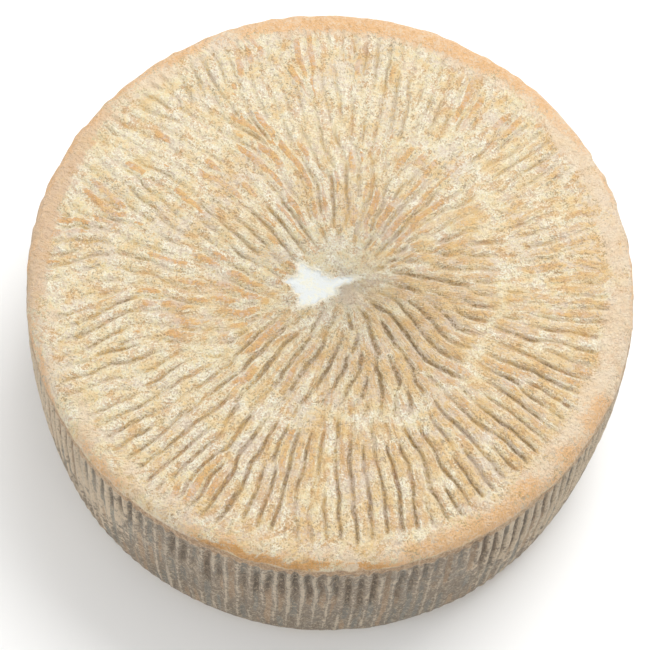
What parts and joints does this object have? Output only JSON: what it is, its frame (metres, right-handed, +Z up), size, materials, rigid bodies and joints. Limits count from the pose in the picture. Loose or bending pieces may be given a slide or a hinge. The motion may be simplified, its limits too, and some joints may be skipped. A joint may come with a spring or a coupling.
{
  "type": "cheese wheel",
  "caption": "Whole round wheel of hard cheese with a natural rind, pleated flat faces, a ribbed side and rounded edges, lying flat.",
  "frame": {"origin": "middle of the base, on the surface that the wheel lies on", "axes": "+Z up along the wheel's axis; the torn patch in the top lies towards -X, and the side shown nearest in the picture faces -Y"},
  "size_m": [0.3018, 0.3031, 0.1212],
  "materials": {
    "rind": "dry natural cheese rind, cream with straw bloom and bare ochre, grey-brown on the side, matt"
  },
  "bodies": {
    "root": {"cheese_wheel": "rind"}
  },
  "joints": []
}
